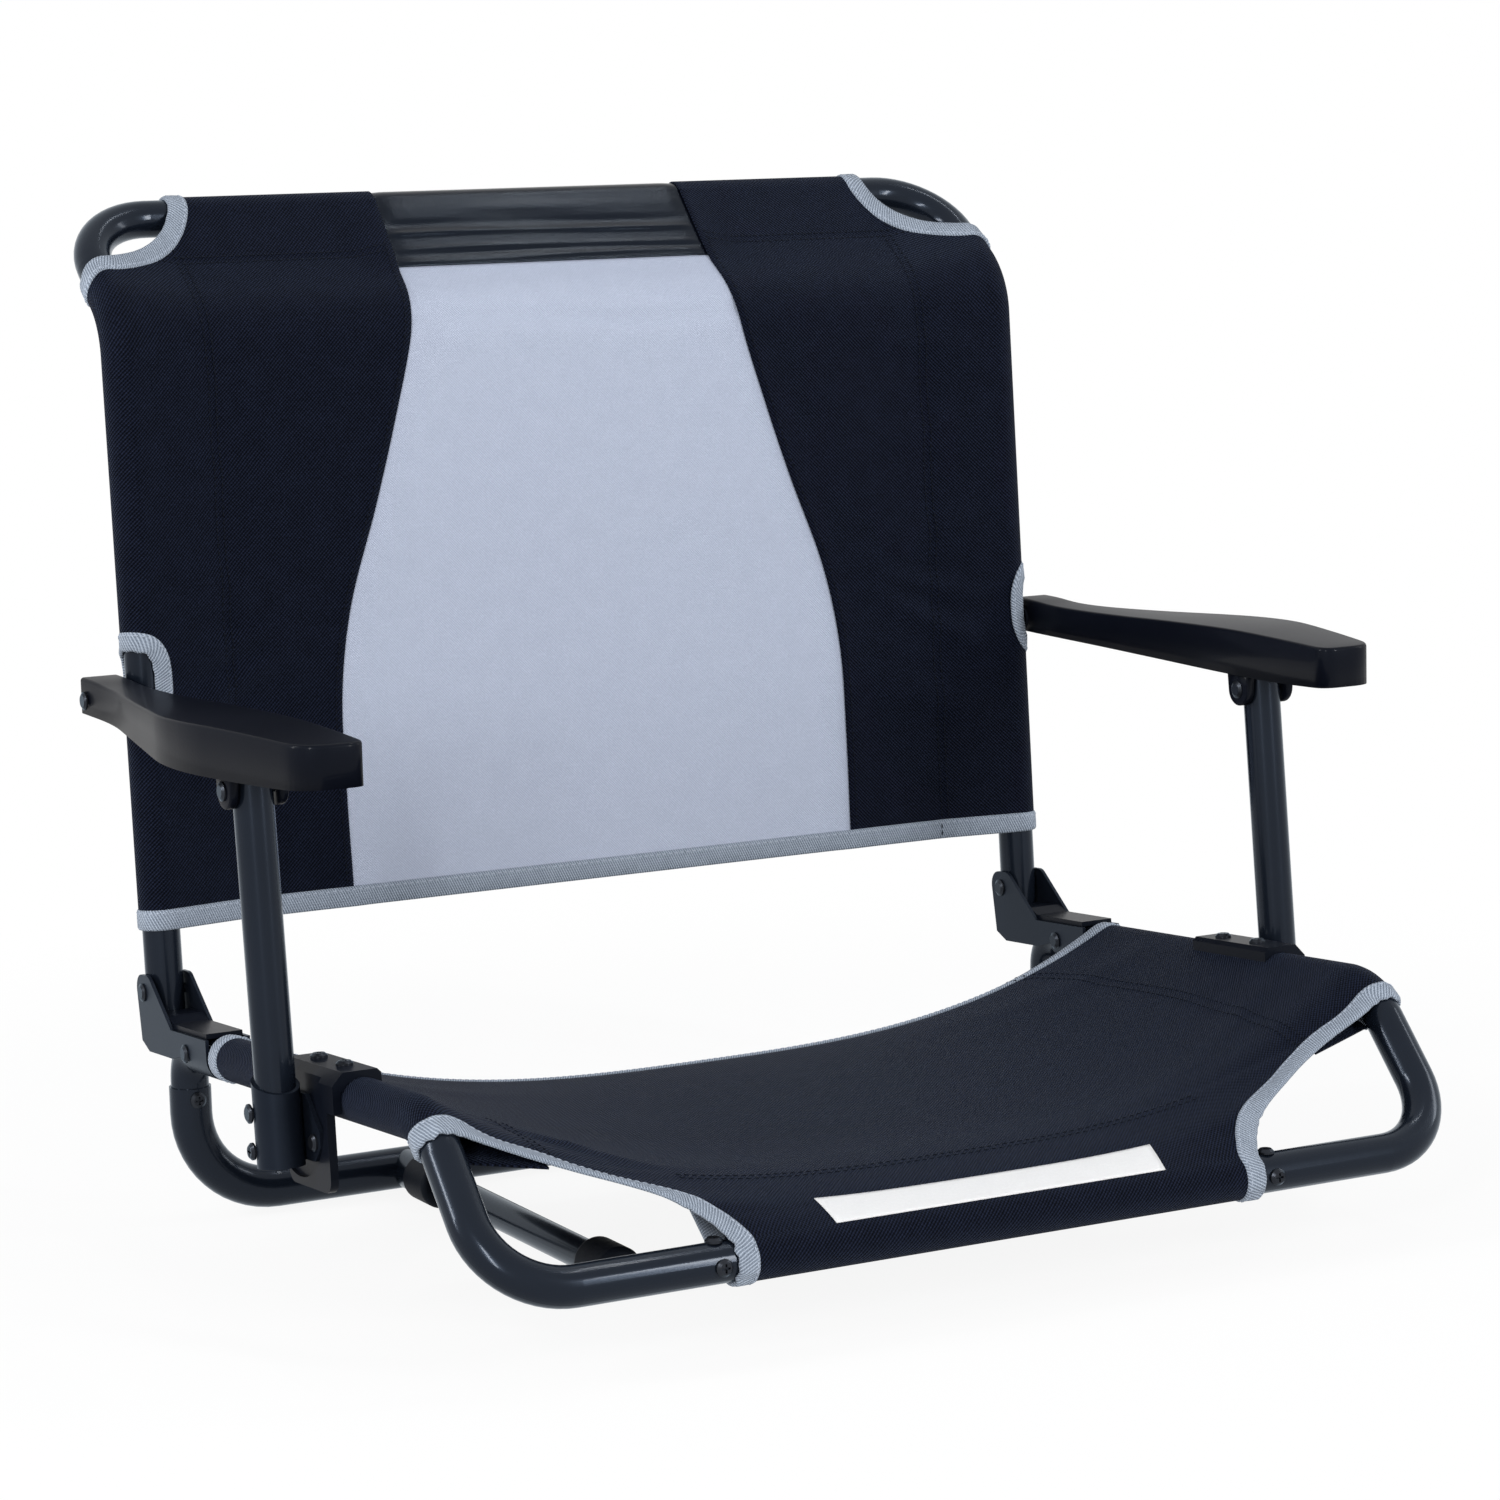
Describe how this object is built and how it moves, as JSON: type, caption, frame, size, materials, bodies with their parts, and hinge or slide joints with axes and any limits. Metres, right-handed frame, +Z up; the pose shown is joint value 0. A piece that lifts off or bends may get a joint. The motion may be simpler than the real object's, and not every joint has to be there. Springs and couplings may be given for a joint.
{
  "type": "folding stadium chair",
  "caption": "Low folding bench chair with a fabric sling seat and back on bent tubes, hinged armrests on swinging posts and a rear hook that grips a bench.",
  "frame": {"origin": "on the floor under the middle of the chair, between the front bar and the top bar", "axes": "+Z up, +X across the chair, the chair faces -Y"},
  "size_m": [0.6152, 0.4955, 0.5088],
  "materials": {
    "frame_paint": "semi-gloss dark blue-grey powder coat",
    "bracket_paint": "semi-gloss dark blue-grey powder coat",
    "arm_plastic": "satin moulded black",
    "clamp_plastic": "gloss moulded black",
    "plug_plastic": "matt moulded black",
    "foot_rubber": "matt black",
    "fastener_steel": "black oxide, semi-gloss",
    "black_cloth": "matt twill weave",
    "grey_cloth": "matt plain weave",
    "wrap_vinyl": "gloss coated cloth",
    "edge_tape": "ribbed tape"
  },
  "bodies": {
    "seat": {"bracket_rivets": "fastener_steel", "clamp_screws": "fastener_steel", "front_bar_screws": "fastener_steel", "front_bar_sleeve": "black_cloth", "hinge_rivets": "fastener_steel", "left_arm_clamp": "clamp_plastic", "left_arm_stub": "frame_paint", "left_hinge_bracket": "bracket_paint", "left_hinge_insert": "plug_plastic", "left_hook_arm": "frame_paint", "left_hook_end_cap": "foot_rubber", "left_hook_ferrule": "foot_rubber", "left_rail_sleeve": "black_cloth", "leg_joint_screws": "fastener_steel", "post_pivot_bolts": "fastener_steel", "rear_hook_tube": "frame_paint", "right_arm_clamp": "clamp_plastic", "right_arm_stub": "frame_paint", "right_hinge_bracket": "bracket_paint", "right_hinge_insert": "plug_plastic", "right_hook_arm": "frame_paint", "right_hook_end_cap": "foot_rubber", "right_hook_ferrule": "foot_rubber", "right_rail_sleeve": "black_cloth", "seat_frame_tube": "frame_paint", "seat_rear_binding": "edge_tape", "seat_sling": "black_cloth"},
    "backrest": {"arm_pivot_bolts": "fastener_steel", "arm_pivot_washers": "plug_plastic", "back_centre_panel": "grey_cloth", "back_frame_tube": "frame_paint", "back_hem_binding": "edge_tape", "back_tube_plugs": "plug_plastic", "left_back_panel": "black_cloth", "left_back_sleeve": "black_cloth", "right_back_panel": "black_cloth", "right_back_sleeve": "black_cloth", "top_sleeves": "black_cloth", "top_wrap": "wrap_vinyl"},
    "left_arm": {"left_armrest": "arm_plastic", "left_lug_pin": "fastener_steel"},
    "left_leg_post": {"left_post_tube": "frame_paint", "left_post_socket": "bracket_paint", "left_socket_screw": "fastener_steel", "left_tab_rivet": "fastener_steel", "left_post_plug": "plug_plastic"},
    "right_arm": {"right_armrest": "arm_plastic", "right_lug_pin": "fastener_steel"},
    "right_leg_post": {"right_post_tube": "frame_paint", "right_post_socket": "bracket_paint", "right_socket_screw": "fastener_steel", "right_tab_rivet": "fastener_steel", "right_post_plug": "plug_plastic"}
  },
  "joints": [
    {"name": "back_fold", "type": "hinge", "parent": "seat", "child": "backrest", "pos_m": [0, 0.1539, 0.113], "axis": [1, 0, 0], "range_deg": [0, 85]},
    {"name": "left_arm_pivot", "type": "hinge", "parent": "backrest", "child": "left_arm", "pos_m": [-0.2745, 0.16301, 0.26202], "axis": [1, 0, 0], "range_deg": [-85, 0]},
    {"name": "left_post_pivot", "type": "hinge", "parent": "seat", "child": "left_leg_post", "pos_m": [-0.2795, -0.0552, 0.094], "axis": [1, 0, 0], "range_deg": [0, 85]},
    {"name": "right_arm_pivot", "type": "hinge", "parent": "backrest", "child": "right_arm", "pos_m": [0.2745, 0.16301, 0.26202], "axis": [1, 0, 0], "range_deg": [-85, 0]},
    {"name": "right_post_pivot", "type": "hinge", "parent": "seat", "child": "right_leg_post", "pos_m": [0.2795, -0.0552, 0.094], "axis": [1, 0, 0], "range_deg": [0, 85]}
  ],
  "couplings": [
    {"joint": "left_arm_pivot", "follows": "back_fold", "ratio": -1},
    {"joint": "left_post_pivot", "follows": "back_fold", "ratio": 1},
    {"joint": "right_arm_pivot", "follows": "back_fold", "ratio": -1},
    {"joint": "right_post_pivot", "follows": "back_fold", "ratio": 1}
  ]
}
